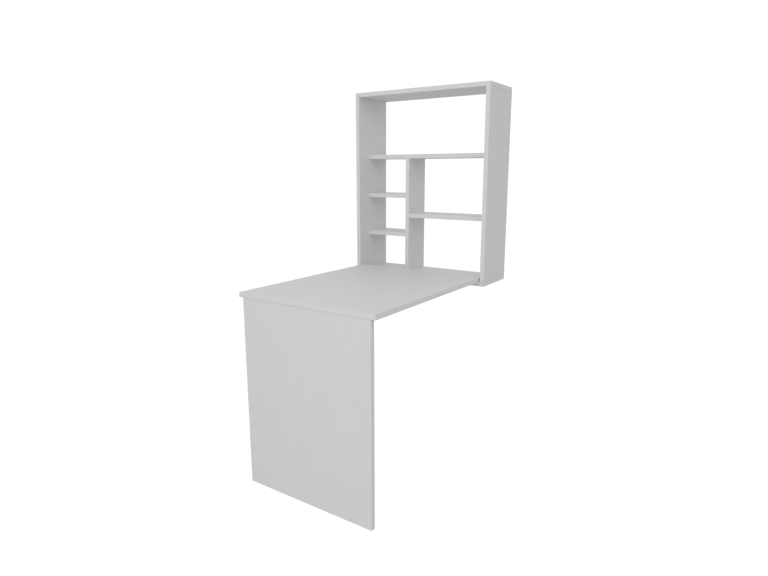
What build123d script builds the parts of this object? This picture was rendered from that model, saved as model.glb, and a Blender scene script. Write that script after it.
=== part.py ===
from build123d import *

import os

# A wall-hung fold-out desk.  An open shelf cabinet hangs on the wall, a tabletop turns down out of
# its front on two pivots, and a panel leg hinged under the tabletop's front edge carries it.
# Axes: X to the right seen from the front, Y towards the wall, Z up.  The floor is at Z = 0.
# Every size is in millimetres.

# ---- boards -------------------------------------------------------------------------------
board = 18.0             # thickness of every melamine-faced board
edging = 1.0             # thickness of the strip glued on a visible board edge
arris = 0.6              # rounding of the edging's outer corners and of the sides' ends

# ---- cabinet ------------------------------------------------------------------------------
cabinet_width = 640.0
cabinet_height = 800.0
cabinet_depth = 216.0
shelf_recess = 76.0      # from the cabinet's front to the fronts of the shelves and divider
lower_bays = 500.0       # clear height under the upper shelf
left_bay = 198.0         # clear width left of the divider

# ---- tabletop and leg ---------------------------------------------------------------------
side_gap = 3.0           # between the tabletop and each cabinet side
seat_gap = 0.3           # between the tabletop and the bottom panel it lies on
pivot_setback = 11.5     # pivot axis behind the cabinet's front
closed_gap = 1.0         # over the tabletop's front edge when it is folded up
leg_inset = 18.0         # of each side of the leg from the tabletop's side
leg_setback = 1.2        # of the leg's face behind the tabletop's front edge
leg_top_gap = 0.5        # between the leg's top edge and the tabletop
leg_fold_gap = 1.0       # between the folded leg's foot and the cabinet's front
glide_height = 0.8
glide_radius = 7.5
glide_inset = 40.0       # of each glide from the leg's side
glide_nail = 16.0
glide_nail_radius = 1.2

# ---- pivots -------------------------------------------------------------------------------
pin_radius = 3.0
pin_in_tabletop = 26.0
pin_in_side = 12.0
running_gap = 0.05       # radial clearance where something turns
bush_radius = 5.0
bush_flange_radius = 7.5
bush_flange = 1.2
washer_radius = 7.0
washer_thickness = 1.4

# ---- leg hinges ---------------------------------------------------------------------------
hinge_count = 3
hinge_length = 60.0
hinge_end_inset = 70.0   # from the leg's side to the middle of the outer hinges
hinge_offset = 3.0       # hinge axis from the faces it joins
leaf = 1.2               # leaf thickness
leaf_reach = 24.0        # from the axis to the leaf's far edge
leaf_corner = 2.0
knuckles = 5
knuckle_radius = 2.7
knuckle_gap = 0.3
hinge_pin_radius = 1.3
hinge_screws = [(-20.0, 17.0), (0.0, 10.0), (20.0, 17.0)]  # along the pin, and away from it
hinge_screw = (3.0, 1.7, 15.0)   # head radius, shank radius, length

# ---- fixings ------------------------------------------------------------------------------
fit_gap = 0.05           # radial clearance round a piece that is pressed or glued in
dowel_radius = 4.0
dowel_in_end = 18.0
dowel_in_face = 12.0
dowel_chamfer = 1.0
cam_reach = 34.0         # from the joint to the cam's centre
cam_radius = 7.5
cam_below_bolt = 3.5     # depth of the cam's pocket past the bolt's axis
cam_slot = (8.0, 1.6, 1.5)       # cross slot's length, width and depth
cam_bolt_thread = 11.0
cam_bolt_thread_radius = 3.0
cam_bolt_collar_radius = 3.8
cam_bolt_collar = 2.0
cam_bolt_shank_radius = 2.5
cam_bolt_neck_radius = 1.7
cam_bolt_head_radius = 3.3
cam_bolt_neck = (5.0, 2.0)       # where the neck starts and ends, short of the cam's centre
cam_bolt_end = 2.5       # the head's end past the cam's centre
cam_bolt_bore = 4.0      # radius of the bolt's channel
cam_cover_radius = 8.5
cam_cover_height = 1.0
cam_cover_rim = 0.4
panel_screw_length = 50.0
panel_screw_head_radius = 5.0
panel_screw_shank_radius = 3.5
panel_screw_core_radius = 2.6
panel_screw_head = 0.6   # height of the head's straight rim
panel_screw_taper = 3.0  # from the rim to the plain shank
panel_screw_socket = (2.0, 3.0)  # radius and depth
screw_cap_radius = 6.5
screw_cap_height = 0.8
screw_cap_rim = 0.5
corner_inset = 37.0      # of the corner screws from the cabinet's front and back
corner_dowel_inset = 74.0
shelf_joint_inset = 28.0 # of a shelf's dowels from its front and back

# ---- wall hangers and catch ---------------------------------------------------------------
hanger_width = 12.0
hanger_length = 48.0
hanger_plate = 1.5
hanger_corner = 2.0
hanger_screw = (2.7, 1.5, 16.0)  # head radius, shank radius, length
hanger_screw_inset = 6.0 # from the plate's end
hanger_inset = 60.0      # keyhole from the end of the side panel
keyhole_radius = 4.25
keyhole_slot = 2.25      # half the width of the keyhole's slot
keyhole_lift = 10.0
keyhole_pocket = 9.0     # room behind the plate for the screw's head
catch_drop = 60.0        # catch below the top panel
catch_radius = 4.5
catch_depth = 13.0
catch_rim_radius = 6.5
catch_rim = 1.2
magnet_radius = 3.0
magnet_stand = 2.0       # magnet's face from the tabletop's edge
barrel_floor = 3.0       # thickness of the barrel behind the magnet
strike_radius = 6.0
strike_thickness = 1.5
strike_stem_radius = 2.0
strike_stem = 12.0

# ---- levels and planes that follow --------------------------------------------------------
half_width = cabinet_width / 2
inner_half = half_width - board
inner_height = cabinet_height - 2 * board

pivot_to_front = inner_height - seat_gap - board / 2 - closed_gap
reach = pivot_to_front - pivot_setback          # tabletop's front edge from the cabinet's front
underside_z = reach - leg_setback - board - leg_fold_gap
desk_height = underside_z + board

cabinet_z = underside_z - seat_gap - board
floor_panel_z = cabinet_z + board               # top face of the cabinet's bottom panel
ceiling_z = cabinet_z + cabinet_height - board  # under face of the cabinet's top panel
front_y = (reach - cabinet_depth) / 2
back_y = front_y + cabinet_depth
shelf_front_y = front_y + shelf_recess

pivot_y = front_y + pivot_setback
pivot_z = underside_z + board / 2
edge_y = front_y - reach
rear_edge_y = pivot_y + board / 2
table_half = inner_half - side_gap

leg_half = table_half - leg_inset
leg_face_y = edge_y + leg_setback
leg_back_y = leg_face_y + board
hinge_y = leg_back_y + hinge_offset
hinge_z = underside_z - hinge_offset

upper_shelf_z = floor_panel_z + lower_bays
divider_x = -inner_half + left_bay              # divider's left face
catch_z = ceiling_z - catch_drop

LEFT, RIGHT = (-1, 0, 0), (1, 0, 0)
FRONT, BACK = (0, -1, 0), (0, 1, 0)
DOWN, UP = (0, 0, -1), (0, 0, 1)

solids = {}                                     # node name to its list of solids


def add(node, *shapes):
    """Puts closed solids into a node."""
    for shape in shapes:
        solids.setdefault(node, []).extend(shape.solids())


def block(low, high):
    """A box between two corners."""
    size = [high[i] - low[i] for i in range(3)]
    middle = [(high[i] + low[i]) / 2 for i in range(3)]
    return Pos(*middle) * Box(*size)


def turned(*profile):
    """A body turned about Z from (radius, height) points."""
    outline = Polyline(*[(radius, 0, height) for radius, height in profile], close=True)
    return revolve(make_face(outline), Axis.Z)


def rod(radius, start, end):
    """A round bar on the Z axis."""
    return Pos(0, 0, (start + end) / 2) * Cylinder(radius, end - start)


def at(point, along, side=None):
    """A place whose Z runs along a direction, and whose X runs to a side if one is given."""
    return Plane(origin=point, x_dir=side, z_dir=along)


# ---- boards -------------------------------------------------------------------------------

def faces_of(edge, low, high):
    """The two outward directions of a box's faces that meet at an edge."""
    found = []
    middle = edge.center()
    for axis, value in enumerate((middle.X, middle.Y, middle.Z)):
        for limit, sign in ((low[axis], -1), (high[axis], 1)):
            if abs(value - limit) < 1e-6:
                found.append(tuple(sign if i == axis else 0 for i in range(3)))
    return found


def cut_into(shape, node, low, high, edged):
    """Splits the edging strips off a board's outer edges and stores the strips."""
    for side in edged:
        axis = [abs(value) for value in side].index(1)
        outer = high[axis] if side[axis] > 0 else low[axis]
        point = [0, 0, 0]
        point[axis] = outer - side[axis] * edging
        plane = Plane(origin=point, z_dir=side)
        add(node + "_edging", split(shape, bisect_by=plane, keep=Keep.TOP))
        shape = split(shape, bisect_by=plane, keep=Keep.BOTTOM)
    return shape


def softened(low, high, edged):
    """A box whose edged sides have rounded corners where they meet each other or a wide face."""
    whole = block(low, high)
    thin = min(range(3), key=lambda i: high[i] - low[i])
    wide = [tuple(sign if i == thin else 0 for i in range(3)) for sign in (-1, 1)]
    rounded = []
    for edge in whole.edges():
        sides = faces_of(edge, low, high)
        is_edged = any(side in edged for side in sides)
        if is_edged and all(side in edged or side in wide for side in sides):
            rounded.append(edge)
    return fillet(rounded, arris)


def make_board(node, low, high, edged=(FRONT,), eased=()):
    """A board with edging strips on the sides named, kept as its core and its strips.

    The corners of its eased sides are rounded too, but those sides get no strip.
    """
    add(node, cut_into(softened(low, high, edged + eased), node, low, high, edged))


def bore(node, *cutters):
    """Cuts holes and pockets into a node's solids."""
    solids[node] = [(solid - list(cutters)).solids()[0] for solid in solids[node]]


def make_cabinet():
    around = (FRONT, LEFT, RIGHT)
    make_board("bottom_panel", (-half_width, front_y, cabinet_z),
               (half_width, back_y, floor_panel_z), around)
    make_board("top_panel", (-half_width, front_y, ceiling_z),
               (half_width, back_y, ceiling_z + board), around)
    make_board("left_side", (-half_width, front_y, floor_panel_z),
               (-inner_half, back_y, ceiling_z), eased=(DOWN, UP))
    make_board("right_side", (inner_half, front_y, floor_panel_z),
               (half_width, back_y, ceiling_z), eased=(DOWN, UP))
    make_board("upper_shelf", (-inner_half, shelf_front_y, upper_shelf_z),
               (inner_half, back_y, upper_shelf_z + board))
    make_board("divider", (divider_x, shelf_front_y, floor_panel_z),
               (divider_x + board, back_y, upper_shelf_z))
    for node, left, right, level in small_shelves():
        make_board(node, (left, shelf_front_y, level), (right, back_y, level + board))


def small_shelves():
    """Name, left end, right end and under face of each small shelf."""
    third = (lower_bays - 2 * board) / 3
    half = (lower_bays - board) / 2
    return [
        ("lower_left_shelf", -inner_half, divider_x, floor_panel_z + third),
        ("upper_left_shelf", -inner_half, divider_x, floor_panel_z + 2 * third + board),
        ("right_shelf", divider_x + board, inner_half, floor_panel_z + half),
    ]


def make_tabletop():
    """The tabletop's lower rear corner is round about the pivot, so that it turns on its seat.

    Its square upper rear corner comes down on the bottom panel at the end of the fold.
    """
    low = (-table_half, edge_y, underside_z)
    high = (table_half, rear_edge_y, underside_z + board)
    edged = (FRONT, LEFT, RIGHT)
    spare = block((-table_half, pivot_y, underside_z), (table_half, rear_edge_y, pivot_z))
    barrel = at((-table_half, pivot_y, pivot_z), RIGHT) * rod(board / 2, 0, 2 * table_half)
    whole = softened(low, high, edged) - (spare - barrel)
    add("tabletop", cut_into(whole, "tabletop", low, high, edged))


def make_leg():
    make_board("leg_panel", (-leg_half, leg_face_y, glide_height),
               (leg_half, leg_back_y, underside_z - leg_top_gap), (LEFT, RIGHT, DOWN, UP))


# ---- fixings that hold the boards together ---------------------------------------------------

def dowel(point, along, end_board, face_board):
    """A dowel glued into the end of one board and the face of another; along points to the end."""
    place = at(point, along)
    tip = dowel_radius - dowel_chamfer
    peg = turned((0, -dowel_in_face), (tip, -dowel_in_face),
                 (dowel_radius, dowel_chamfer - dowel_in_face),
                 (dowel_radius, dowel_in_end - dowel_chamfer),
                 (tip, dowel_in_end), (0, dowel_in_end))
    add("dowels", place * peg)
    hole = dowel_radius + fit_gap
    bore(end_board, place * rod(hole, -fit_gap, dowel_in_end + 1))
    bore(face_board, place * rod(hole, -dowel_in_face - 1, fit_gap))


def cam_joint(point, along, open_side, end_board, face_board):
    """A steel bolt in one board's face, drawn in by a cam that sits in the other board."""
    place = at(point, along)
    thread, shank = cam_bolt_thread_radius, cam_bolt_shank_radius
    neck, head = cam_bolt_neck_radius, cam_bolt_head_radius
    tip_cut, bevel = 0.4, 1.0
    neck_start, neck_end = [cam_reach - short for short in cam_bolt_neck]
    bolt_end = cam_reach + cam_bolt_end
    bolt = turned((0, -cam_bolt_thread), (thread - tip_cut, -cam_bolt_thread),
                  (thread, bevel - cam_bolt_thread), (thread, 0),
                  (cam_bolt_collar_radius, 0), (cam_bolt_collar_radius, cam_bolt_collar),
                  (shank, cam_bolt_collar), (shank, neck_start - bevel),
                  (neck, neck_start), (neck, neck_end),
                  (head, neck_end + bevel), (head, bolt_end - bevel),
                  (head - bevel, bolt_end), (0, bolt_end))
    add("cam_bolts", place * bolt)
    bore(face_board, place * rod(thread + fit_gap, -cam_bolt_thread - 1, fit_gap))

    cam_depth = board / 2 + cam_below_bolt
    centre = Vector(*point) + Vector(*along) * cam_reach + Vector(*open_side) * (board / 2)
    seat = at(centre, open_side, along)
    channel = place * rod(cam_bolt_bore, cam_reach - cam_radius - 2, bolt_end + 1)
    slot_length, slot_width, slot_depth = cam_slot
    recess = seat * (Box(slot_length, slot_width, 2 * slot_depth)
                     + Box(slot_width, slot_length, 2 * slot_depth))
    add("cam_locks", seat * rod(cam_radius - fit_gap, -cam_depth, 0) - [channel, recess])
    bore(end_board, place * rod(cam_bolt_bore, -fit_gap, cam_reach),
         seat * rod(cam_radius, -cam_depth, 1))

    cover = turned((0, 0), (cam_cover_radius, 0), (cam_cover_radius, cam_cover_height - cam_cover_rim),
                   (cam_cover_radius - cam_cover_rim, cam_cover_height), (0, cam_cover_height))
    add("cam_covers", seat * cover)


def panel_screw(point, inward, outer_board, end_board):
    """A stout screw through one board's face into another's end, its head under a push-in cap."""
    place = at(point, inward)
    socket_radius, socket_depth = panel_screw_socket
    point_length, step = 3.0, 2.0

    def shank(gap):
        head = panel_screw_head_radius + gap
        plain = panel_screw_shank_radius + gap
        core = panel_screw_core_radius + gap
        tip = panel_screw_length + gap
        return turned((0, -gap), (head, -gap), (head, panel_screw_head),
                      (plain, panel_screw_head + panel_screw_taper),
                      (plain, board - step), (core, board),
                      (core, panel_screw_length - point_length), (1 + gap, tip), (0, tip))

    add("panel_screws", place * (shank(0) - rod(socket_radius, -1, socket_depth)))
    bore(outer_board, place * shank(fit_gap))
    bore(end_board, place * shank(fit_gap))
    stem_radius, stem_end = socket_radius - fit_gap, socket_depth - screw_cap_rim
    cap = turned((0, -screw_cap_height), (screw_cap_radius - screw_cap_rim, -screw_cap_height),
                 (screw_cap_radius, screw_cap_rim - screw_cap_height), (screw_cap_radius, 0),
                 (stem_radius, 0), (stem_radius, stem_end), (0, stem_end))
    add("screw_caps", place * cap)


def fix_corners():
    """Screws and dowels through the top and bottom panels into the ends of the sides."""
    for side, x in (("left_side", board / 2 - half_width), ("right_side", half_width - board / 2)):
        for panel, face_z, joint_z, inward in (
                ("bottom_panel", cabinet_z, floor_panel_z, UP),
                ("top_panel", ceiling_z + board, ceiling_z, DOWN)):
            for y in (front_y + corner_inset, back_y - corner_inset):
                panel_screw((x, y, face_z), inward, panel, side)
            for y in (front_y + corner_dowel_inset, back_y - corner_dowel_inset):
                dowel((x, y, joint_z), inward, side, panel)


def fix_end(point, along, open_side, end_board, face_board):
    """Dowel, cam and dowel across the end of a shelf or divider."""
    x, z = point
    for y in (shelf_front_y + shelf_joint_inset, back_y - shelf_joint_inset):
        dowel((x, y, z), along, end_board, face_board)
    middle = (shelf_front_y + back_y) / 2
    cam_joint((x, middle, z), along, open_side, end_board, face_board)


def fix_shelves():
    middle = upper_shelf_z + board / 2
    fix_end((-inner_half, middle), RIGHT, DOWN, "upper_shelf", "left_side")
    fix_end((inner_half, middle), LEFT, DOWN, "upper_shelf", "right_side")
    for node, left, right, level in small_shelves():
        middle = level + board / 2
        left_board = "left_side" if left == -inner_half else "divider"
        right_board = "right_side" if right == inner_half else "divider"
        fix_end((left, middle), RIGHT, DOWN, node, left_board)
        fix_end((right, middle), LEFT, DOWN, node, right_board)


def fix_divider():
    x = divider_x + board / 2
    fix_end((x, upper_shelf_z), DOWN, LEFT, "divider", "upper_shelf")
    for y in (shelf_front_y + shelf_joint_inset, back_y - shelf_joint_inset):
        panel_screw((x, y, cabinet_z), UP, "bottom_panel", "divider")
    dowel((x, (shelf_front_y + back_y) / 2, floor_panel_z), UP, "divider", "bottom_panel")


# ---- wall hangers ------------------------------------------------------------------------------

def keyhole(head_radius, slot_radius, depth):
    """A keyhole that points up local Y and goes down local -Z from the surface."""
    outline = Circle(head_radius) + Pos(0, keyhole_lift) * Circle(slot_radius)
    outline += Pos(0, keyhole_lift / 2) * Rectangle(2 * slot_radius, keyhole_lift)
    return extrude(outline, -depth)


def flat_screw(head_radius, radius, length, gap=0.0):
    """A countersunk wood screw that points down local -Z, its head flush at Z = 0."""
    taper = head_radius - radius
    rim, point_length, tip_radius = 0.2, 3.0, 0.3
    return turned((0, gap), (head_radius + gap, gap), (head_radius + gap, -rim),
                  (radius + gap, -rim - taper), (radius + gap, point_length - length),
                  (tip_radius + gap, -length - gap), (0, -length - gap))


def make_hangers():
    """A keyhole plate let into the wall edge near each end of both sides."""
    screw_at = hanger_length / 2 - hanger_screw_inset
    middle = keyhole_lift / 2                   # plate's middle above the round hole
    for side, x in (("left_side", board / 2 - half_width), ("right_side", half_width - board / 2)):
        for z in (floor_panel_z + hanger_inset, ceiling_z - hanger_inset):
            place = at((x, back_y, z), BACK, LEFT)
            slab = Pos(0, middle, -hanger_plate / 2) * Box(hanger_width, hanger_length, hanger_plate)
            recess = fillet(slab.edges().filter_by(Axis.Z), hanger_corner)
            plate = recess - keyhole(keyhole_radius, keyhole_slot, hanger_plate)
            pocket = keyhole(keyhole_radius + 0.5, keyhole_radius + 0.5, hanger_plate + keyhole_pocket)
            bore(side, place * recess, place * pocket)
            for y in (middle - screw_at, middle + screw_at):
                spot = place * Pos(0, y, 0)
                plate = plate - Pos(0, y, 0) * flat_screw(*hanger_screw, fit_gap)
                bore(side, spot * flat_screw(*hanger_screw, fit_gap))
                add("hanger_screws", spot * flat_screw(*hanger_screw))
            add("wall_hangers", place * plate)


# ---- pivots and catch ---------------------------------------------------------------------------

def make_pivots():
    """On each side: a flanged bush in the cabinet, and a pin with its washer in the tabletop."""
    for side, outward, sign in (("left_side", LEFT, -1), ("right_side", RIGHT, 1)):
        face = at((sign * inner_half, pivot_y, pivot_z), outward)
        bush_depth = pin_in_side + 1
        bush = turned((pin_radius + running_gap, -bush_flange), (bush_flange_radius, -bush_flange),
                      (bush_flange_radius, 0), (bush_radius, 0), (bush_radius, bush_depth),
                      (pin_radius + running_gap, bush_depth))
        add("pivot_bushes", face * bush)
        bore(side, face * rod(bush_radius + fit_gap, -fit_gap, bush_depth))

        table = at((sign * table_half, pivot_y, pivot_z), outward)
        chamfer = 0.6
        pin_end = side_gap + pin_in_side
        pin = turned((0, -pin_in_tabletop), (pin_radius, -pin_in_tabletop),
                     (pin_radius, pin_end - chamfer), (pin_radius - chamfer, pin_end), (0, pin_end))
        add("pivot_pins", table * pin)
        hole = table * rod(pin_radius + fit_gap, -pin_in_tabletop - 1, 1)
        bore("tabletop", hole)
        bore_edging("tabletop_edging", hole)
        washer = rod(washer_radius, 0, washer_thickness) - rod(pin_radius + fit_gap, -1, 3)
        add("pivot_washers", table * washer)


def bore_edging(node, *cutters):
    """Cuts holes only into the strips of an edging that they reach."""
    reached = []
    for strip in solids[node]:
        box = strip.bounding_box()
        hit = any(box.overlaps(cutter.bounding_box()) for cutter in cutters)
        reached.append((strip - list(cutters)).solids()[0] if hit else strip)
    solids[node] = reached


def make_catch():
    """A magnet in the tabletop's left edge that holds to a steel strike in the left side."""
    strike_face = at((-inner_half, pivot_y, catch_z), RIGHT)
    add("catch_strike", strike_face * (rod(strike_radius, -strike_thickness, 0)
                                       + rod(strike_stem_radius, -strike_stem, 0)))
    bore("left_side", strike_face * rod(strike_radius + fit_gap, -strike_thickness, 1),
         strike_face * rod(strike_stem_radius + fit_gap, -strike_stem - 1, 1))

    barrel_y = pivot_y - (catch_z - pivot_z)
    edge_face = at((-table_half, barrel_y, pivot_z), LEFT)
    magnet_back = barrel_floor - catch_depth
    socket = magnet_radius + fit_gap
    chamfer = 0.4
    barrel = turned((0, -catch_depth), (catch_radius, -catch_depth), (catch_radius, 0),
                    (catch_rim_radius, 0), (catch_rim_radius, catch_rim - chamfer),
                    (catch_rim_radius - chamfer, catch_rim), (socket, catch_rim),
                    (socket, magnet_back), (0, magnet_back))
    add("catch_barrel", edge_face * barrel)
    add("catch_magnet", edge_face * rod(magnet_radius, magnet_back, magnet_stand))
    hole = edge_face * rod(catch_radius + fit_gap, -catch_depth, fit_gap)
    bore("tabletop", hole)
    bore_edging("tabletop_edging", hole)


# ---- leg hinges and glides ------------------------------------------------------------------------

def hinge_leaf(owned):
    """One leaf in local axes: X along the pin, Y away from it, and the fixed face at Z = offset."""
    pitch = hinge_length / knuckles
    free = knuckle_radius + 0.5                 # where the plain part of the leaf starts
    low_z, high_z = hinge_offset - leaf, hinge_offset
    plate = block((-hinge_length / 2, free, low_z), (hinge_length / 2, leaf_reach, high_z))
    shape = fillet(plate.edges().filter_by(Axis.Z).group_by(Axis.Y)[-1], leaf_corner)
    for number in owned:
        start = -hinge_length / 2 + number * pitch + knuckle_gap / 2
        end = start + pitch - knuckle_gap
        shape += block((start, 0, low_z), (end, free, high_z))
        shape += at((start, 0, 0), RIGHT) * rod(knuckle_radius, 0, end - start)
    shape -= at((-hinge_length / 2, 0, 0), RIGHT) * rod(hinge_pin_radius + running_gap, 0, hinge_length)
    for x, y in hinge_screws:
        shape -= at((x, y, low_z), DOWN) * flat_screw(*hinge_screw, fit_gap)
    return shape


def make_hinges():
    """Butt hinges in the corner between the leg's back and the tabletop's under face."""
    pin = at((-hinge_length / 2, 0, 0), RIGHT) * rod(hinge_pin_radius, 0, hinge_length)
    span = 2 * (leg_half - hinge_end_inset)
    for number in range(hinge_count):
        x = -span / 2 + number * span / (hinge_count - 1)
        fixed = Plane(origin=(x, hinge_y, hinge_z), x_dir=RIGHT, z_dir=UP)
        moving = Plane(origin=(x, hinge_y, hinge_z), x_dir=LEFT, z_dir=FRONT)
        for place, node, panel, owned in (
                (fixed, "tabletop_hinge_leaves", "tabletop", (0, 2, 4)),
                (moving, "leg_hinge_leaves", "leg_panel", (1, 3))):
            add(node, place * hinge_leaf(owned))
            for spot_x, spot_y in hinge_screws:
                spot = place * at((spot_x, spot_y, hinge_offset - leaf), DOWN)
                add(node.replace("leaves", "screws"), spot * flat_screw(*hinge_screw))
                bore(panel, spot * flat_screw(*hinge_screw, fit_gap))
        add("hinge_pins", fixed * pin)


def make_glides():
    """Nailed nylon glides under the leg."""
    for sign in (-1, 1):
        middle = (leg_face_y + leg_back_y) / 2
        place = at((sign * (leg_half - glide_inset), middle, glide_height), DOWN)
        edge = 0.3
        disc = turned((0, 0), (glide_radius, 0), (glide_radius, glide_height - edge),
                      (glide_radius - edge, glide_height), (0, glide_height))
        add("leg_glides", place * (disc + rod(glide_nail_radius, -glide_nail, 0)))
        hole = place * rod(glide_nail_radius + fit_gap, -glide_nail - 1, 1)
        bore("leg_panel", hole)
        bore_edging("leg_panel_edging", hole)


make_cabinet()
make_tabletop()
make_leg()
fix_corners()
fix_shelves()
fix_divider()
make_hangers()
make_pivots()
make_catch()
make_hinges()
make_glides()

os.makedirs("parts", exist_ok=True)
for name, bodies in solids.items():
    export_step(Compound(children=bodies) if len(bodies) > 1 else bodies[0], f"parts/{name}.step")

print(f"desk height {desk_height:.1f}, reach {reach:.1f}, front {front_y:.1f}, nodes {len(solids)}")
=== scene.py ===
# %% [markdown]
# # A wall-hung fold-out desk
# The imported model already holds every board, strip and fitting at its real size and place.  This
# lesson gives each of them the finish it leaves the workshop with, remodels the small fittings
# whose shape is worth a close look, and sets up a plain white studio round them.
#
# The frame comes first.

# %% Load the frame
import math

import bpy
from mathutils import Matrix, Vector


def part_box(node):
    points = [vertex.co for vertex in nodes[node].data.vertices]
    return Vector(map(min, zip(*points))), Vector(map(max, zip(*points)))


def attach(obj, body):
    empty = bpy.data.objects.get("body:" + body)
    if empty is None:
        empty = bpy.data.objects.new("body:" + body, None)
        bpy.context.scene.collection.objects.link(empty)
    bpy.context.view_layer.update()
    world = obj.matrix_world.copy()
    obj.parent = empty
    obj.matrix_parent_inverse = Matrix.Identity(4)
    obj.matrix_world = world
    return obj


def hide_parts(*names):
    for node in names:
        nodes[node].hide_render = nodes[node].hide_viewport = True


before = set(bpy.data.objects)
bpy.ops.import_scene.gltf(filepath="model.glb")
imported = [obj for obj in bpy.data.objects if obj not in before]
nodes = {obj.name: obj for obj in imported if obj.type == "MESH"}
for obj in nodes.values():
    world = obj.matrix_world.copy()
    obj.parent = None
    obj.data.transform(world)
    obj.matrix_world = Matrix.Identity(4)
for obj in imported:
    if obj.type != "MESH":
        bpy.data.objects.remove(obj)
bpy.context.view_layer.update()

print("pieces in the frame:", len(nodes))

# %% [markdown]
# ## Helpers for finishes
# Colours are written as the sRGB hex values that a paint card gives, and one function turns them
# into the linear values that shaders mix.  Pattern sizes are written in millimetres: a noise
# texture repeats about once per unit at scale 1, so its scale is 1000 over the size of its marks,
# and the height of a bump is written as so many times MM.  Another small function adds a node,
# with its settings and whatever feeds it.

# %% Helpers for finishes
MIX_A, MIX_B, MIXED = 6, 7, 2            # the colour sockets of a Mix node
MM = 0.001                               # one millimetre in metres


def linear(hex_colour):
    """An sRGB hex colour as linear RGBA."""
    channels = [int(hex_colour[i:i + 2], 16) / 255 for i in (1, 3, 5)]
    return [c / 12.92 if c <= 0.04045 else ((c + 0.055) / 1.055) ** 2.4 for c in channels] + [1.0]


def per_mm(size):
    """Texture scale for marks of this many millimetres."""
    return 1000 / size


def add(tree, kind, inputs=None, **settings):
    """Adds a node.  Settings are its own options; inputs are values, or sockets to link from."""
    node = tree.nodes.new(kind)
    for name, value in settings.items():
        setattr(node, name, value)
    for socket, value in (inputs or {}).items():
        if isinstance(value, bpy.types.NodeSocket):
            tree.links.new(value, node.inputs[socket])
        else:
            node.inputs[socket].default_value = value
    return node


def new_material(name):
    """An empty material, its node tree, and the piece's own coordinates in metres."""
    material = bpy.data.materials.new(name)
    material.use_nodes = True
    tree = material.node_tree
    tree.nodes.clear()
    place = add(tree, "ShaderNodeTexCoord").outputs["Object"]
    return material, tree, place


def output(material, tree, shader):
    """Ends a material with its shader."""
    add(tree, "ShaderNodeOutputMaterial", {"Surface": shader.outputs[0]})
    print(f"{material.name}: {len(tree.nodes)} nodes")
    return material


def paint(material, *names):
    """Gives CAD nodes a material."""
    for name in names:
        mesh = nodes[name].data
        mesh.materials.clear()
        mesh.materials.append(material)


print("white at 50% in linear light:", round(linear("#808080")[0], 3))

# %% [markdown]
# ## Boards: melamine-faced chipboard
# The real boards are chipboard with a sheet of printed paper, soaked in melamine resin, pressed on
# each face by a heated steel plate.  The plate leaves a fine pearl emboss and a low, even sheen,
# and the resin flows a little unevenly, so large soft patches reflect slightly more or less.
# The edges against the wall get no edging, so bare chipboard shows there: flat chips that lie
# parallel to the board's faces.  One material does both, and tells them apart by how far back a
# point lies.  Boards that lie flat and boards that stand need their chips turned, so there are two.
# The sides' sawn ends are rounded by sanding where they meet the top and bottom panels.  Their
# rounded corners are painted dark grey, partly the board's core showing through and partly painted
# shade of the joint, which draws a fine dark line along each joint.

# %% Board finish
wall_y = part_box("left_side")[1][1]       # the plane of the raw edges
raw_depth = 0.2 * MM


def oblique(tree, place):
    """1 where a face points along no axis of its piece, as on a rounded corner, and 0 elsewhere."""
    # The piece's own normal is read, so that a corner keeps its finish while its board turns.
    facing = add(tree, "ShaderNodeVectorMath", {
        0: place.node.outputs["Normal"]}, operation="ABSOLUTE")
    parts = add(tree, "ShaderNodeSeparateXYZ", {"Vector": facing.outputs[0]})
    wider = add(tree, "ShaderNodeMath", {
        0: parts.outputs["X"], 1: parts.outputs["Y"]}, operation="MAXIMUM")
    widest = add(tree, "ShaderNodeMath", {
        0: wider.outputs[0], 1: parts.outputs["Z"]}, operation="MAXIMUM")
    # The widest share of a unit normal is 1 on a flat face, and under 0.98 past 11 degrees.
    return add(tree, "ShaderNodeMath", {0: widest.outputs[0], 1: 0.98}, operation="LESS_THAN")


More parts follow.
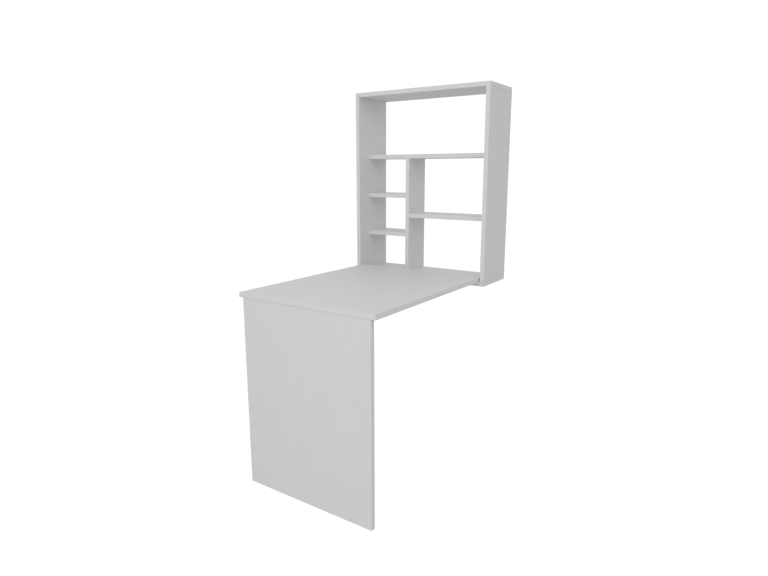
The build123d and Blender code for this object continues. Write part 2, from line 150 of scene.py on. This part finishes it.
def melamine_board(name, chip_size, core_and_joint_shade):
    """White melamine over chipboard; chip_size is a chip along X, Y and Z in millimetres.

    The flag paints the rounded corners dark grey: partly the core showing through, partly painted
    shade in the joint.
    """
    material, tree, place = new_material(name)
    # Emboss of the press plate: about 0.8 mm between its grains.
    pearl = add(tree, "ShaderNodeTexNoise", {
        "Vector": place, "Scale": per_mm(0.8), "Detail": 2.0, "Roughness": 0.6})
    # Resin flow: patches 70 mm across, and handling marks 9 mm across.
    flow = add(tree, "ShaderNodeTexNoise", {
        "Vector": place, "Scale": per_mm(70), "Detail": 3.0, "Distortion": 0.6})
    marks = add(tree, "ShaderNodeTexNoise", {
        "Vector": place, "Scale": per_mm(9), "Detail": 4.0, "Roughness": 0.7})
    white = add(tree, "ShaderNodeMix", {
        0: flow.outputs["Fac"], MIX_A: linear("#E2E2E1"), MIX_B: linear("#E6E6E5")},
        data_type="RGBA")
    sheen = add(tree, "ShaderNodeMath", {
        0: flow.outputs["Fac"], 1: marks.outputs["Fac"]}, operation="MULTIPLY")
    gloss = add(tree, "ShaderNodeMapRange", {
        "Value": sheen.outputs[0], "From Min": 0.1, "From Max": 0.45,
        "To Min": 0.40, "To Max": 0.52})

    # Chips: cells stretched to a chip's length, in two tans, with dark resin between them.
    chip_space = add(tree, "ShaderNodeMapping", {
        "Vector": place, "Scale": [per_mm(size) for size in chip_size]})
    chips = add(tree, "ShaderNodeTexVoronoi", {
        "Vector": chip_space.outputs[0], "Scale": 1.0, "Randomness": 1.0})
    tone = add(tree, "ShaderNodeSeparateColor", {"Color": chips.outputs["Color"]})
    fibre = add(tree, "ShaderNodeTexNoise", {
        "Vector": chip_space.outputs[0], "Scale": 6.0, "Detail": 3.0})
    wood = add(tree, "ShaderNodeMix", {
        0: tone.outputs["Red"], MIX_A: linear("#B3926A"), MIX_B: linear("#D9C39C")},
        data_type="RGBA")
    streaked = add(tree, "ShaderNodeMix", {
        0: fibre.outputs["Fac"], MIX_A: wood.outputs[MIXED], MIX_B: linear("#A98459")},
        data_type="RGBA")
    gap = add(tree, "ShaderNodeMapRange", {
        "Value": chips.outputs["Distance"], "From Min": 0.45, "From Max": 0.85,
        "To Min": 0.0, "To Max": 0.7})
    chipboard = add(tree, "ShaderNodeMix", {
        0: gap.outputs[0], MIX_A: streaked.outputs[MIXED], MIX_B: linear("#7E6242")},
        data_type="RGBA")

    # Raw only within raw_depth of the wall plane.
    along = add(tree, "ShaderNodeSeparateXYZ", {"Vector": place})
    raw = add(tree, "ShaderNodeMath", {
        0: along.outputs["Y"], 1: wall_y - raw_depth}, operation="GREATER_THAN")
    colour = add(tree, "ShaderNodeMix", {
        0: raw.outputs[0], MIX_A: white.outputs[MIXED], MIX_B: chipboard.outputs[MIXED]},
        data_type="RGBA")
    # Rounded corners in dark grey: partly the board's core, partly painted shade in the joint.
    if core_and_joint_shade:
        colour = add(tree, "ShaderNodeMix", {
            0: oblique(tree, place).outputs[0], MIX_A: colour.outputs[MIXED],
            MIX_B: linear("#7F7A73")}, data_type="RGBA")
    roughness = add(tree, "ShaderNodeMapRange", {
        "Value": raw.outputs[0], "To Min": gloss.outputs[0], "To Max": 0.85})
    relief = add(tree, "ShaderNodeMapRange", {
        "Value": raw.outputs[0], "To Min": pearl.outputs["Fac"],
        "To Max": chips.outputs["Distance"]})
    depth = add(tree, "ShaderNodeMapRange", {
        "Value": raw.outputs[0], "To Min": 0.12, "To Max": 0.9})
    bump = add(tree, "ShaderNodeBump", {
        "Height": relief.outputs[0], "Strength": depth.outputs[0], "Distance": 0.2 * MM})
    shader = add(tree, "ShaderNodeBsdfPrincipled", {
        "Base Color": colour.outputs[MIXED], "Roughness": roughness.outputs[0],
        "Normal": bump.outputs[0], "IOR": 1.5})
    return output(material, tree, shader)


LYING = ("bottom_panel", "top_panel", "upper_shelf", "lower_left_shelf", "upper_left_shelf",
         "right_shelf", "tabletop")
STANDING = ("left_side", "right_side", "divider", "leg_panel")
paint(melamine_board("melamine_board_lying", (6.0, 4.0, 1.3), core_and_joint_shade=False), *LYING)
paint(melamine_board("melamine_board_standing", (1.3, 4.0, 6.0), core_and_joint_shade=True), *STANDING)

# %% [markdown]
# ## Edging: ABS strip
# Each visible edge has a 1 mm strip of white ABS glued on by a hot roller, trimmed flush, and
# rounded by a scraper along its corners.  The strip has the board's emboss, a little glossier.  The
# rounded corners lose the emboss and some of the gloss, the scraper leaves faint chatter across
# them, and they are painted a little darker, a painted shade that damps their lamp-lit brightness.
# They are found by their normals, as the rounded ends of the sides are.

# %% Edging finish
def edging_strip():
    material, tree, place = new_material("abs_edging_strip")
    pearl = add(tree, "ShaderNodeTexNoise", {
        "Vector": place, "Scale": per_mm(0.8), "Detail": 2.0, "Roughness": 0.6})
    roll = add(tree, "ShaderNodeTexNoise", {
        "Vector": place, "Scale": per_mm(35), "Detail": 2.0})
    # Chatter: ripples every 1.5 mm along the strip, whichever way it runs.
    chatter = add(tree, "ShaderNodeTexNoise", {
        "Vector": place, "Scale": per_mm(1.5), "Detail": 0.0})
    scraped_and_shaded = oblique(tree, place)
    tint = add(tree, "ShaderNodeMix", {
        0: roll.outputs["Fac"], MIX_A: linear("#E3E3E2"), MIX_B: linear("#E7E7E6")},
        data_type="RGBA")
    # The rounded corners are painted a little darker: painted shade against the lamp's light on
    # them.
    colour = add(tree, "ShaderNodeMix", {
        0: scraped_and_shaded.outputs[0], MIX_A: tint.outputs[MIXED], MIX_B: linear("#E1E1E0")},
        data_type="RGBA")
    roughness = add(tree, "ShaderNodeMapRange", {
        "Value": scraped_and_shaded.outputs[0], "To Min": 0.40, "To Max": 0.48})
    relief = add(tree, "ShaderNodeMapRange", {
        "Value": scraped_and_shaded.outputs[0], "To Min": pearl.outputs["Fac"],
        "To Max": chatter.outputs["Fac"]})
    bump = add(tree, "ShaderNodeBump", {
        "Height": relief.outputs[0], "Strength": 0.12, "Distance": 0.2 * MM})
    shader = add(tree, "ShaderNodeBsdfPrincipled", {
        "Base Color": colour.outputs[MIXED], "Roughness": roughness.outputs[0],
        "Normal": bump.outputs[0], "IOR": 1.52})
    return output(material, tree, shader)


edgings = [name for name in nodes if name.endswith("_edging")]
paint(edging_strip(), *edgings)
print("edged boards:", len(edgings))

# %% [markdown]
# ## Dowels: turned beech
# Beech is pale and even, with growth rings about 2 mm apart and short dark flecks, the rays.
# Rings belong to the solid wood, so a ring wave through the piece is right on sides and ends alike.

# %% Dowel finish
def turned_beech():
    material, tree, place = new_material("turned_beech")
    rings = add(tree, "ShaderNodeTexWave", {
        "Vector": place, "Scale": per_mm(2.0) / 6, "Distortion": 3.0, "Detail": 2.0,
        "Detail Scale": 1.5}, wave_type="RINGS", rings_direction="Y")
    rays = add(tree, "ShaderNodeTexNoise", {
        "Vector": place, "Scale": per_mm(0.6), "Detail": 3.0, "Roughness": 0.7})
    fleck = add(tree, "ShaderNodeMapRange", {
        "Value": rays.outputs["Fac"], "From Min": 0.58, "From Max": 0.72})
    grain = add(tree, "ShaderNodeMix", {
        0: rings.outputs["Fac"], MIX_A: linear("#D3A877"), MIX_B: linear("#BC8C5C")},
        data_type="RGBA")
    colour = add(tree, "ShaderNodeMix", {
        0: fleck.outputs[0], MIX_A: grain.outputs[MIXED], MIX_B: linear("#94663D")},
        data_type="RGBA")
    bump = add(tree, "ShaderNodeBump", {
        "Height": rays.outputs["Fac"], "Strength": 0.3, "Distance": 0.1 * MM})
    shader = add(tree, "ShaderNodeBsdfPrincipled", {
        "Base Color": colour.outputs[MIXED], "Roughness": 0.62,
        "Normal": bump.outputs[0], "IOR": 1.5})
    return output(material, tree, shader)


paint(turned_beech(), "dowels")

# %% [markdown]
# ## Screws, bolts and pins: zinc-plated steel
# The cold-headed steel is tumbled in the plating drum, so its plating is bright but faintly
# mottled, and the blue passivation over it tints it a little, more in some places than others.

# %% Zinc plating
def zinc_plated_steel():
    material, tree, place = new_material("zinc_plated_steel")
    tumble = add(tree, "ShaderNodeTexNoise", {
        "Vector": place, "Scale": per_mm(1.2), "Detail": 4.0, "Roughness": 0.65})
    passivation = add(tree, "ShaderNodeTexNoise", {
        "Vector": place, "Scale": per_mm(5), "Detail": 1.0})
    colour = add(tree, "ShaderNodeMix", {
        0: passivation.outputs["Fac"], MIX_A: linear("#C6CBD2"), MIX_B: linear("#CFCDC4")},
        data_type="RGBA")
    roughness = add(tree, "ShaderNodeMapRange", {
        "Value": tumble.outputs["Fac"], "From Min": 0.3, "From Max": 0.7,
        "To Min": 0.22, "To Max": 0.38})
    bump = add(tree, "ShaderNodeBump", {
        "Height": tumble.outputs["Fac"], "Strength": 0.2, "Distance": 0.05 * MM})
    shader = add(tree, "ShaderNodeBsdfPrincipled", {
        "Base Color": colour.outputs[MIXED], "Metallic": 1.0,
        "Roughness": roughness.outputs[0], "Normal": bump.outputs[0]})
    return output(material, tree, shader)


zinc_plating = zinc_plated_steel()
paint(zinc_plating, "cam_bolts", "panel_screws", "pivot_pins", "hinge_pins",
      "tabletop_hinge_screws", "leg_hinge_screws")

# %% [markdown]
# ## Hinge leaves and wall hangers: nickel-plated strip
# These are stamped from rolled strip.  Nickel is warmer than zinc, and the rolling leaves fine
# lines along the strip, which stretch the highlights.  The strip runs along X in the hinges.

# %% Nickel plating
def nickel_plated_strip():
    material, tree, place = new_material("nickel_plated_strip")
    # Rolling lines: 0.25 mm apart and 12 mm long.
    along = add(tree, "ShaderNodeMapping", {
        "Vector": place, "Scale": (per_mm(12), per_mm(0.25), per_mm(0.25))})
    lines = add(tree, "ShaderNodeTexNoise", {
        "Vector": along.outputs[0], "Scale": 1.0, "Detail": 2.0})
    stain = add(tree, "ShaderNodeTexNoise", {
        "Vector": place, "Scale": per_mm(14), "Detail": 2.0})
    colour = add(tree, "ShaderNodeMix", {
        0: stain.outputs["Fac"], MIX_A: linear("#CBC5B9"), MIX_B: linear("#C0BBB1")},
        data_type="RGBA")
    roughness = add(tree, "ShaderNodeMapRange", {
        "Value": lines.outputs["Fac"], "From Min": 0.3, "From Max": 0.7,
        "To Min": 0.20, "To Max": 0.34})
    bump = add(tree, "ShaderNodeBump", {
        "Height": lines.outputs["Fac"], "Strength": 0.15, "Distance": 0.03 * MM})
    shader = add(tree, "ShaderNodeBsdfPrincipled", {
        "Base Color": colour.outputs[MIXED], "Metallic": 1.0, "Anisotropic": 0.4,
        "Roughness": roughness.outputs[0], "Normal": bump.outputs[0]})
    return output(material, tree, shader)


paint(nickel_plated_strip(), "tabletop_hinge_leaves", "leg_hinge_leaves", "wall_hangers")

# %% [markdown]
# ## Catch strike: lacquered steel
# The strike is a steel disc in the white of the boards, so that it doesn't catch the eye in the
# cabinet's side.  Stoved lacquer flows out smooth but for a slow waviness, called orange peel, and
# the magnet has left a faint ring of dull rubs where it lands.

# %% Lacquer
strike_low, strike_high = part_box("catch_strike")
strike_middle = [(strike_low[i] + strike_high[i]) / 2 for i in range(3)]


def lacquered_steel(centre):
    """White lacquer with a dull ring about the centre, where a magnet lands."""
    material, tree, place = new_material("lacquered_steel")
    # Orange peel: swells 1.5 mm apart.
    peel = add(tree, "ShaderNodeTexNoise", {
        "Vector": place, "Scale": per_mm(1.5), "Detail": 1.0})
    rubs = add(tree, "ShaderNodeTexNoise", {
        "Vector": place, "Scale": per_mm(0.5), "Detail": 4.0, "Roughness": 0.7})
    # The magnet's rim is 3 mm from the middle, seen square on.
    across = add(tree, "ShaderNodeVectorMath", {
        0: place, 1: (0, *centre[1:])}, operation="SUBTRACT")
    flat = add(tree, "ShaderNodeVectorMath", {0: across.outputs[0], 1: (0, 1, 1)},
               operation="MULTIPLY")
    radius = add(tree, "ShaderNodeVectorMath", {0: flat.outputs[0]}, operation="LENGTH")
    from_rim = add(tree, "ShaderNodeMath", {
        0: radius.outputs["Value"], 1: 3 * MM, 2: 0.6 * MM}, operation="COMPARE")
    worn = add(tree, "ShaderNodeMath", {
        0: from_rim.outputs[0], 1: rubs.outputs["Fac"]}, operation="MULTIPLY")
    colour = add(tree, "ShaderNodeMix", {
        0: worn.outputs[0], MIX_A: linear("#E4E4E2"), MIX_B: linear("#C9C9C8")},
        data_type="RGBA")
    roughness = add(tree, "ShaderNodeMapRange", {
        "Value": worn.outputs[0], "To Min": 0.28, "To Max": 0.6})
    bump = add(tree, "ShaderNodeBump", {
        "Height": peel.outputs["Fac"], "Strength": 0.1, "Distance": 0.1 * MM})
    shader = add(tree, "ShaderNodeBsdfPrincipled", {
        "Base Color": colour.outputs[MIXED], "Roughness": roughness.outputs[0],
        "Normal": bump.outputs[0], "IOR": 1.5})
    return output(material, tree, shader)


paint(lacquered_steel(strike_middle), "catch_strike")

# %% [markdown]
# ## Cams: zinc die casting
# A cam comes from the die with a dull, slightly crystalline skin and small pits, and isn't plated.

# %% Die casting
def zinc_die_casting():
    material, tree, place = new_material("zinc_die_casting")
    crystals = add(tree, "ShaderNodeTexVoronoi", {"Vector": place, "Scale": per_mm(0.7)})
    pits = add(tree, "ShaderNodeTexNoise", {
        "Vector": place, "Scale": per_mm(0.5), "Detail": 4.0, "Roughness": 0.75})
    colour = add(tree, "ShaderNodeMix", {
        0: pits.outputs["Fac"], MIX_A: linear("#8F9194"), MIX_B: linear("#A9ABAD")},
        data_type="RGBA")
    roughness = add(tree, "ShaderNodeMapRange", {
        "Value": crystals.outputs["Distance"], "To Min": 0.42, "To Max": 0.62})
    bump = add(tree, "ShaderNodeBump", {
        "Height": pits.outputs["Fac"], "Strength": 0.35, "Distance": 0.1 * MM})
    shader = add(tree, "ShaderNodeBsdfPrincipled", {
        "Base Color": colour.outputs[MIXED], "Metallic": 1.0,
        "Roughness": roughness.outputs[0], "Normal": bump.outputs[0]})
    return output(material, tree, shader)


paint(zinc_die_casting(), "cam_locks")

# %% [markdown]
# ## Small plastics
# Caps, covers and the catch's barrel are moulded in white polypropylene, and the bushes, washers
# and glides in grey nylon.  Both moulds are spark-eroded, which leaves an even fine grain; nylon
# is a little glossier.  The flow of the melt shows as very faint, slow streaks.  One function
# serves both, because only colours, gloss and index differ.

# %% Moulded plastics
def moulded_plastic(name, dark, light, gloss, index):
    """A spark-eroded moulding in two nearly equal tones."""
    material, tree, place = new_material(name)
    # The real grain is about 0.1 mm; it is drawn at 0.4 mm so that it shows at arm's length.
    grain = add(tree, "ShaderNodeTexNoise", {
        "Vector": place, "Scale": per_mm(0.4), "Detail": 3.0, "Roughness": 0.6})
    flow = add(tree, "ShaderNodeTexNoise", {
        "Vector": place, "Scale": per_mm(6), "Detail": 1.0, "Distortion": 1.5})
    colour = add(tree, "ShaderNodeMix", {
        0: flow.outputs["Fac"], MIX_A: linear(dark), MIX_B: linear(light)}, data_type="RGBA")
    roughness = add(tree, "ShaderNodeMapRange", {
        "Value": grain.outputs["Fac"], "To Min": gloss, "To Max": gloss + 0.1})
    bump = add(tree, "ShaderNodeBump", {
        "Height": grain.outputs["Fac"], "Strength": 0.15, "Distance": 0.1 * MM})
    shader = add(tree, "ShaderNodeBsdfPrincipled", {
        "Base Color": colour.outputs[MIXED], "Roughness": roughness.outputs[0],
        "Normal": bump.outputs[0], "IOR": index})
    return output(material, tree, shader)


polypropylene = moulded_plastic("moulded_polypropylene", "#E3E3E1", "#E8E8E6", 0.42, 1.49)
nylon = moulded_plastic("moulded_nylon", "#6C6E71", "#747679", 0.34, 1.53)
paint(polypropylene, "screw_caps", "cam_covers", "catch_barrel")
paint(nylon, "pivot_bushes", "pivot_washers", "leg_glides")

# %% [markdown]
# ## Magnet: ground ferrite
# The magnet in the tabletop's left edge is a sintered ceramic, nearly black.  Its face is ground
# flat, which leaves straight scratches, and the brittle edge loses small grains.

# %% Ferrite
def ground_ferrite():
    material, tree, place = new_material("ground_ferrite")
    # Grinding scratches: 0.15 mm apart and 4 mm long, along the tabletop's edge.
    along = add(tree, "ShaderNodeMapping", {
        "Vector": place, "Scale": (per_mm(0.15), per_mm(4), per_mm(0.15))})
    scratches = add(tree, "ShaderNodeTexNoise", {
        "Vector": along.outputs[0], "Scale": 1.0, "Detail": 2.0})
    grains = add(tree, "ShaderNodeTexNoise", {
        "Vector": place, "Scale": per_mm(0.5), "Detail": 4.0})
    colour = add(tree, "ShaderNodeMix", {
        0: grains.outputs["Fac"], MIX_A: linear("#36373A"), MIX_B: linear("#47484B")},
        data_type="RGBA")
    roughness = add(tree, "ShaderNodeMapRange", {
        "Value": scratches.outputs["Fac"], "To Min": 0.35, "To Max": 0.6})
    bump = add(tree, "ShaderNodeBump", {
        "Height": scratches.outputs["Fac"], "Strength": 0.3, "Distance": 0.05 * MM})
    shader = add(tree, "ShaderNodeBsdfPrincipled", {
        "Base Color": colour.outputs[MIXED], "Roughness": roughness.outputs[0],
        "Normal": bump.outputs[0], "IOR": 2.0})
    return output(material, tree, shader)


paint(ground_ferrite(), "catch_magnet")

# %% [markdown]
# ## Where the small fittings go
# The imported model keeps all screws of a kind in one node.  To put a better screw in each place,
# a copy of the node is merged, since its triangles come loose, and separated into its solids.
# Each solid's box then says where its visible face is.  The copies are removed again.

# %% Find the fittings
def select_only(piece):
    """Deselects everything else, because an operator acts on all that is selected."""
    bpy.ops.object.select_all(action="DESELECT")
    piece.select_set(True)
    bpy.context.view_layer.objects.active = piece


def solids_of(node):
    """The lowest and highest corner of each solid in a CAD node, in a fixed order."""
    twin = nodes[node].copy()
    twin.data = nodes[node].data.copy()
    bpy.context.collection.objects.link(twin)
    select_only(twin)
    bpy.ops.object.mode_set(mode="EDIT")
    bpy.ops.mesh.select_all(action="SELECT")
    bpy.ops.mesh.remove_doubles(threshold=1e-6)
    bpy.ops.mesh.separate(type="LOOSE")
    bpy.ops.object.mode_set(mode="OBJECT")
    boxes = []
    for piece in list(bpy.context.selected_objects):
        places = [vertex.co for vertex in piece.data.vertices]
        low = Vector([min(place[i] for place in places) for i in range(3)])
        high = Vector([max(place[i] for place in places) for i in range(3)])
        boxes.append((low, high))
        bpy.data.objects.remove(piece)
    boxes.sort(key=lambda box: tuple(round(value, 5) for value in (*box[0], *box[1])))
    print(node, "holds", len(boxes), "solids")
    return boxes


FITTED = ("tabletop_hinge_screws", "leg_hinge_screws", "hanger_screws", "screw_caps",
          "cam_covers", "leg_glides")
fittings = {node: solids_of(node) for node in FITTED}

# %% [markdown]
# ## Turned pieces, ring by ring
# Screws and caps are all round, so one helper raises them as on a lathe: it starts from a filled
# circle and extrudes it upwards again and again, resizing the new ring to its radius each time.
# Every piece is made with its visible face at Z = 0 and its hidden end below, so one more helper
# can turn it to face any way and set it in place.

# %% Raise and place
def mm(*values):
    """Millimetres as metres."""
    return tuple(value * MM for value in values)


def raised(name, rings, sides):
    """A round piece from (radius, height) rings in millimetres, lowest first, with closed ends."""
    bpy.ops.object.select_all(action="DESELECT")
    radius, height = mm(*rings[0])
    bpy.ops.mesh.primitive_circle_add(
        vertices=sides, radius=radius, fill_type="NGON", location=(0, 0, height))
    piece = bpy.context.object
    piece.name = name
    bpy.ops.object.transform_apply(location=True)
    bpy.ops.object.mode_set(mode="EDIT")
    bpy.ops.mesh.select_all(action="SELECT")
    for ring in rings[1:]:
        new_radius, new_height = mm(*ring)
        bpy.ops.mesh.extrude_region_move(
            TRANSFORM_OT_translate={"value": (0, 0, new_height - height)})
        scale = new_radius / radius
        bpy.ops.transform.resize(value=(scale, scale, 1), center_override=(0, 0, new_height))
        radius, height = new_radius, new_height
    bpy.ops.mesh.select_all(action="SELECT")
    bpy.ops.mesh.normals_make_consistent(inside=False)
    bpy.ops.object.mode_set(mode="OBJECT")
    return piece


def apply(piece, modifier):
    select_only(piece)
    bpy.ops.object.modifier_apply(modifier=modifier.name)


def face_centre(low, high, facing):
    """The middle of a box's face on one side."""
    middle = (low + high) / 2
    half = (high - low) / 2
    return middle + Vector([facing[i] * half[i] for i in range(3)])


def set_out(model, name, node, body, material, facings):
    """Copies a model to each solid of a CAD node, joins the copies, and lets them stand for it."""
    copies = []
    for (low, high), facing in zip(fittings[node], facings):
        piece = model.copy()
        piece.data = model.data.copy()
        bpy.context.collection.objects.link(piece)
        turn = Vector(facing).to_track_quat("Z", "Y").to_matrix().to_4x4()
        turn.translation = face_centre(low, high, facing)
        piece.data.transform(turn)
        copies.append(piece)
    bpy.data.objects.remove(model)
    select_only(copies[0])
    for piece in copies:
        piece.select_set(True)
    bpy.ops.object.join()
    joined = bpy.context.object
    joined.name = name
    bpy.ops.object.shade_smooth_by_angle(angle=SMOOTH_ANGLE)
    joined.data.materials.clear()
    joined.data.materials.append(material)
    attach(joined, body)
    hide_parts(node)
    print(f"{name}: {len(copies)} copies, {len(joined.data.polygons)} faces")
    return joined


BACK, LEFT = (0, 1, 0), (-1, 0, 0)
DOWN, UP = (0, 0, -1), (0, 0, 1)
SMOOTH_ANGLE = math.radians(35)          # a sharper corner than this stays an edge
print("facings:", BACK, LEFT, DOWN, UP)

# %% [markdown]
# ## Countersunk wood screws
# A real screw has a flat countersunk head with a cross recess, a thread rolled up to it, and a
# point.  The head is what shows in a hinge leaf.  The thread is a stack of ridges here: no turn of
# it can be told from a ring when the screw is in.  The recess is cut by two tapered blades.

# %% Countersunk wood screws
def countersunk_screw(name, head, core, length):
    """Radius of head and of core, and length, in millimetres.  The head is flush with Z = 0."""
    crest, pitch, land = core * 1.18, 1.2, 0.2
    point_radius, point, shoulder = 0.15, 1.6, 2.4
    recess_reach = head * 0.58
    neck = -land - (head - core)
    rings = [(point_radius, -length), (core * 0.55, -length + point)]
    height = -length + shoulder
    while height < neck - 1.5 * pitch:
        rings += [(core, height), (crest, height + pitch * 0.4), (crest, height + pitch * 0.5)]
        height += pitch
    rings += [(core, height), (core, neck), (head, -land), (head, 0)]
    screw = raised(name, rings, sides=24)
    for quarter in (0, math.pi / 2):
        cut_blade(screw, recess_reach, quarter)
    print(name, "rings:", len(rings))
    return screw


def cut_blade(screw, reach, turn):
    """Sinks one tapered slot of the cross recess into a screw's head."""
    wide, deep, narrowing = 0.8, 1.5, 0.45
    bpy.ops.object.select_all(action="DESELECT")
    bpy.ops.mesh.primitive_cube_add(size=1, rotation=(0, 0, turn))
    blade = bpy.context.object
    blade.scale = mm(2 * reach, wide, 2 * deep)
    bpy.ops.object.transform_apply(location=True, rotation=True, scale=True)
    for vertex in blade.data.vertices:
        vertex.select = vertex.co.z < 0
    bpy.ops.object.mode_set(mode="EDIT")
    bpy.ops.transform.resize(
        value=(narrowing, narrowing, 1), center_override=mm(0, 0, -deep))
    bpy.ops.object.mode_set(mode="OBJECT")
    recess = screw.modifiers.new("recess", "BOOLEAN")
    recess.operation = "DIFFERENCE"
    recess.object = blade
    recess.solver = "EXACT"
    apply(screw, recess)
    bpy.data.objects.remove(blade)


for node, body, facing, sizes in (
        ("tabletop_hinge_screws", "tabletop", DOWN, (3.0, 1.7, 15)),
        ("leg_hinge_screws", "leg", BACK, (3.0, 1.7, 15)),
        ("hanger_screws", "cabinet", BACK, (2.7, 1.5, 16))):
    screw = countersunk_screw(node + "_model", *sizes)
    set_out(screw, "cross_" + node, node, body, zinc_plating,
            [facing] * len(fittings[node]))

# %% [markdown]
# ## Screw caps
# A push-in cap covers each screw in the top and bottom panels.  It has a thin rim, a low crown and
# a plug that grips the screw's socket.  The caps of the upper panel face up, the others down.

# %% Screw caps
CAP_RINGS = [(1.6, -3.3), (1.95, -3.0), (1.95, -0.8), (6.5, -0.8), (6.5, -0.5), (6.3, -0.34),
             (5.9, -0.26), (5.4, -0.2), (4.2, -0.08), (2.6, -0.02), (1.0, 0)]
cabinet_middle = sum(corner[2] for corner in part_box("left_side")) / 2
caps = fittings["screw_caps"]
set_out(raised("cap_model", CAP_RINGS, sides=48), "crowned_screw_caps", "screw_caps", "cabinet",
        polypropylene,
        [UP if low[2] > cabinet_middle else DOWN for low, _ in caps])

# %% [markdown]
# ## Cam covers
# A thin disc is pressed over each cam, under the shelves and in the divider's left face.  It has
# a rounded rim and a slightly sunk middle, where a thumb pushes.

# %% Cam covers
COVER_RINGS = [(8.5, -1.0), (8.5, -0.5), (8.35, -0.22), (8.0, -0.06), (7.5, 0), (6.9, 0),
               (6.5, -0.06), (6.2, -0.2), (4.0, -0.26), (1.5, -0.28)]
covers = fittings["cam_covers"]
set_out(raised("cover_model", COVER_RINGS, sides=64), "rimmed_cam_covers", "cam_covers", "cabinet",
        polypropylene,
        [LEFT if high[0] - low[0] < high[2] - low[2] else DOWN for low, high in covers])

# %% [markdown]
# ## Leg glides
# Each glide is a nylon button with a crowned sole, nailed into the leg's lower edge, so the leg
# slides on the floor without marking it.

# %% Leg glides
GLIDE_RINGS = [(0.3, -16.8), (1.2, -14.8), (1.2, -0.8), (7.5, -0.8), (7.5, -0.45), (7.2, -0.22),
               (6.5, -0.1), (5.0, -0.03), (3.2, 0), (2.4, 0), (2.1, -0.25), (0.8, -0.3)]
set_out(raised("glide_model", GLIDE_RINGS, sides=48), "crowned_leg_glides", "leg_glides", "leg",
        nylon, [DOWN] * len(fittings["leg_glides"]))

# %% [markdown]
# ## Studio
# The desk stands in an all-white studio.  The floor and the backdrop are lit paper that only the
# camera sees, so that they can be pure white while the light on the desk is set apart from them.
# That light is a large even glow from all round, dimmer from below than from above, with three
# soft lamps: a strong one high in front of the desk, and weaker ones near the floor and at the
# right.

# %% Floor and backdrop
def lit_paper():
    material, tree, place = new_material("lit_paper")
    # Paper tooth, 4 mm apart: too faint to show at full exposure.
    tooth = add(tree, "ShaderNodeTexNoise", {"Vector": place, "Scale": per_mm(4)})
    colour = add(tree, "ShaderNodeMix", {
        0: tooth.outputs["Fac"], MIX_A: linear("#FDFDFD"), MIX_B: linear("#FFFFFF")},
        data_type="RGBA")
    shader = add(tree, "ShaderNodeEmission", {"Color": colour.outputs[MIXED], "Strength": 1.05})
    return output(material, tree, shader)


def seen_only(piece, name, material):
    """Makes a piece of the studio that the camera sees, and that neither lights nor shades."""
    piece.name = name
    piece.data.materials.append(material)
    piece.visible_diffuse = False
    piece.visible_glossy = False
    piece.visible_transmission = False
    piece.visible_shadow = False


floor_size, studio_radius = 60, 25       # metres
paper = lit_paper()
bpy.ops.object.select_all(action="DESELECT")
bpy.ops.mesh.primitive_plane_add(size=floor_size, location=(0, 0, 0))
seen_only(bpy.context.object, "floor", paper)
bpy.ops.mesh.primitive_uv_sphere_add(segments=48, ring_count=24, radius=studio_radius)
seen_only(bpy.context.object, "backdrop", paper)
print("studio pieces: floor, backdrop")

# %% Glow and lamps
GLOW = ((-90, 0.45), (-15, 0.50), (60, 0.80), (90, 0.20))     # height in degrees, brightness
DESK_MIDDLE = (0, 0, 0.8)
LAMPS = {                                # place in metres, and power in watts
    "low_lamp": ((0.5, -3.0, 0.6), 9),
    "high_lamp": ((0.5, -2.5, 3.2), 14),
    "side_lamp": ((2.5, -1.5, 2.8), 4),
}


def glow(stops):
    """A world whose brightness depends only on the height of the direction."""
    world = bpy.data.worlds.new("glow")
    world.use_nodes = True
    tree = world.node_tree
    tree.nodes.clear()
    direction = add(tree, "ShaderNodeTexCoord").outputs["Generated"]
    height = add(tree, "ShaderNodeSeparateXYZ", {"Vector": direction})
    share = add(tree, "ShaderNodeMath", {
        0: height.outputs["Z"], 1: 0.5, 2: 0.5}, operation="MULTIPLY_ADD")
    ramp = add(tree, "ShaderNodeValToRGB", {"Fac": share.outputs[0]})
    marks = ramp.color_ramp.elements
    while len(marks) < len(stops):
        marks.new(0.5)
    for mark, (angle, brightness) in zip(marks, stops):
        mark.position = (math.sin(math.radians(angle)) + 1) / 2
        mark.color = (brightness, brightness, brightness, 1)
    light = add(tree, "ShaderNodeBackground", {"Color": ramp.outputs["Color"], "Strength": 1.0})
    add(tree, "ShaderNodeOutputWorld", {"Surface": light.outputs[0]})
    return world


def lamp(name, place, power, size=1.6):
    """A square soft lamp aimed at the desk's middle."""
    data = bpy.data.lights.new(name, "AREA")
    data.shape = "SQUARE"
    data.size = size
    data.energy = power
    lamp_object = bpy.data.objects.new(name, data)
    lamp_object.location = place
    aim = Vector(DESK_MIDDLE) - Vector(place)
    lamp_object.rotation_euler = aim.to_track_quat("-Z", "Y").to_euler()
    bpy.context.scene.collection.objects.link(lamp_object)


scene = bpy.context.scene
scene.world = glow(GLOW)
for name, (place, power) in LAMPS.items():
    lamp(name, place, power)
scene.view_settings.view_transform = "Standard"

# %% [markdown]
# ## Camera
# The camera stands in front and to the right, a little above the tabletop, and looks slightly
# down.  Its place is written from the middle of the cabinet's front lower edge, so that it keeps
# its view of the desk if a level changes.

# %% Camera
cabinet_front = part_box("left_side_edging")[0][1]
cabinet_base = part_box("bottom_panel")[0][2]
right_of_middle, before_front, above_base = 1.2421, 2.0978, 0.4585    # metres
pitch, roll, turn = 78.399, 0, 33.927    # degrees
camera_data = bpy.data.cameras.new("camera")
camera_data.sensor_width = 36
camera_data.lens = 26.43
camera = bpy.data.objects.new("camera", camera_data)
camera.location = (right_of_middle, cabinet_front - before_front, cabinet_base + above_base)
camera.rotation_euler = [math.radians(angle) for angle in (pitch, roll, turn)]
scene.collection.objects.link(camera)
scene.camera = camera
print("camera at", [round(value, 3) for value in camera.location])
